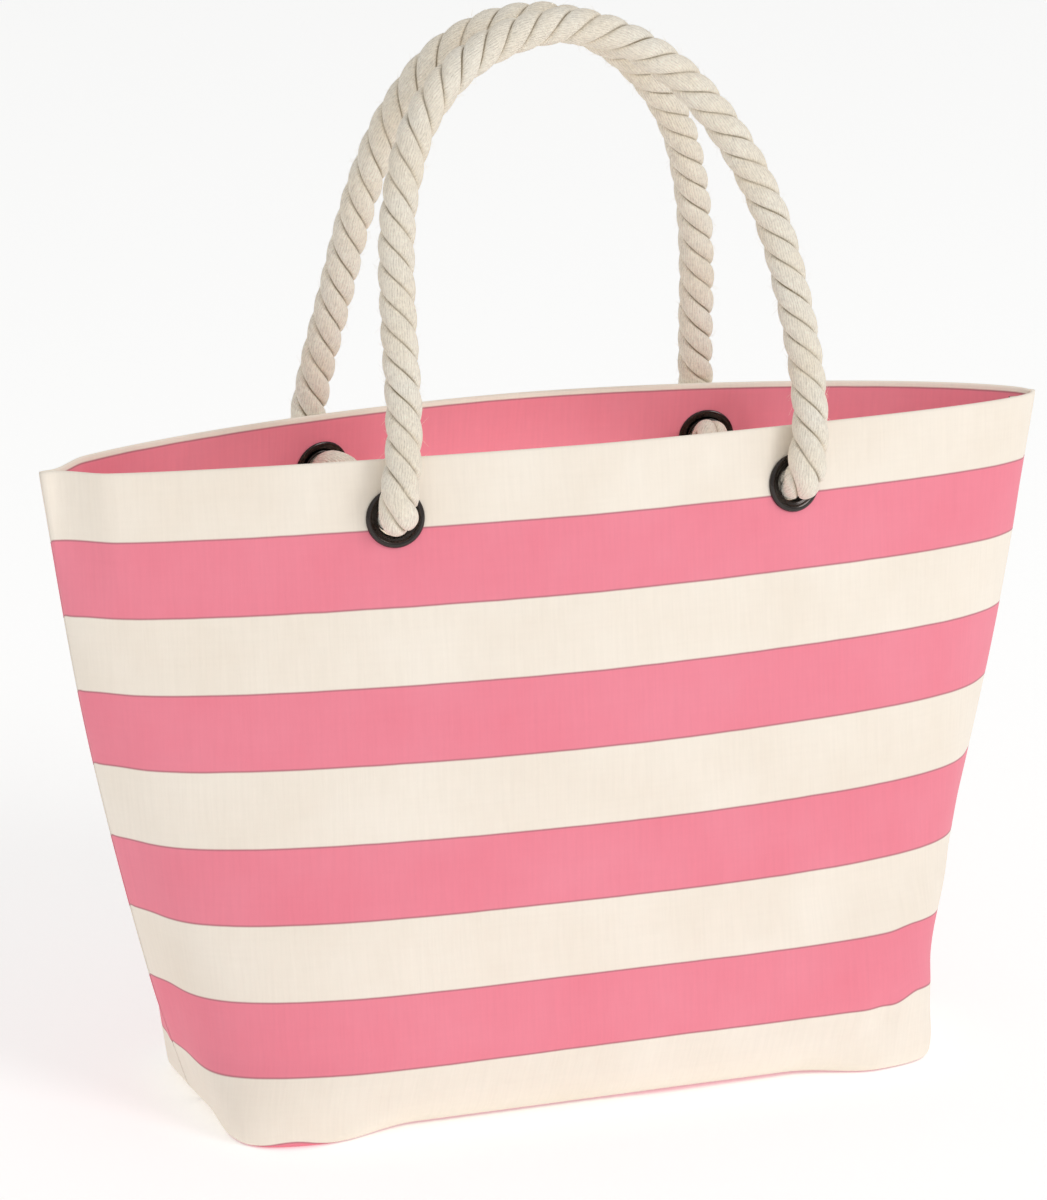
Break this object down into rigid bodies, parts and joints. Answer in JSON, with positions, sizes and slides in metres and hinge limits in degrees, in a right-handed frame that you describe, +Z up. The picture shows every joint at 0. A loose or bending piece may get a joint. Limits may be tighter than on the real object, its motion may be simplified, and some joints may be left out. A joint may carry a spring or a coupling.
{
  "type": "beach bag",
  "caption": "Soft canvas tote with horizontal stripes, a flat boxed base, metal eyelets and thick twisted rope handles that swing.",
  "frame": {"origin": "middle of the flat base, on the surface that the bag stands on", "axes": "+Z up, -Y towards the front panel, +X towards the bag's right side seen from the front"},
  "size_m": [0.5318, 0.1686, 0.541],
  "materials": {
    "striped_canvas": "plain-woven cotton canvas, printed pink stripes on natural cream",
    "overlock_thread": "dark grey spun overlock thread",
    "gunmetal": "gunmetal plated, smooth and glossy",
    "cotton_rope": "natural three-strand twisted cotton, matt",
    "rope_tape": "woven cloth tape"
  },
  "bodies": {
    "bag": {"front_panel": "striped_canvas", "back_panel": "striped_canvas", "front_left_eyelet": "gunmetal", "front_left_washer": "gunmetal", "front_left_knot": "cotton_rope", "front_left_rope_tape": "rope_tape", "front_right_eyelet": "gunmetal", "front_right_washer": "gunmetal", "front_right_knot": "cotton_rope", "front_right_rope_tape": "rope_tape", "back_left_eyelet": "gunmetal", "back_left_washer": "gunmetal", "back_left_knot": "cotton_rope", "back_left_rope_tape": "rope_tape", "back_right_eyelet": "gunmetal", "back_right_washer": "gunmetal", "back_right_knot": "cotton_rope", "back_right_rope_tape": "rope_tape", "left_side_seam": "overlock_thread", "right_side_seam": "overlock_thread", "left_corner_seam": "overlock_thread", "right_corner_seam": "overlock_thread", "bottom_seam": "overlock_thread"},
    "front_handle": {"front_handle": "cotton_rope"},
    "back_handle": {"back_handle": "cotton_rope"}
  },
  "joints": [
    {"name": "front_handle_swing", "type": "hinge", "parent": "bag", "child": "front_handle", "pos_m": [0, -0.06895, 0.3072], "axis": [1, 0, 0], "range_deg": [0, 180]},
    {"name": "back_handle_swing", "type": "hinge", "parent": "bag", "child": "back_handle", "pos_m": [0, 0.06895, 0.3072], "axis": [-1, 0, 0], "range_deg": [0, 180]}
  ]
}
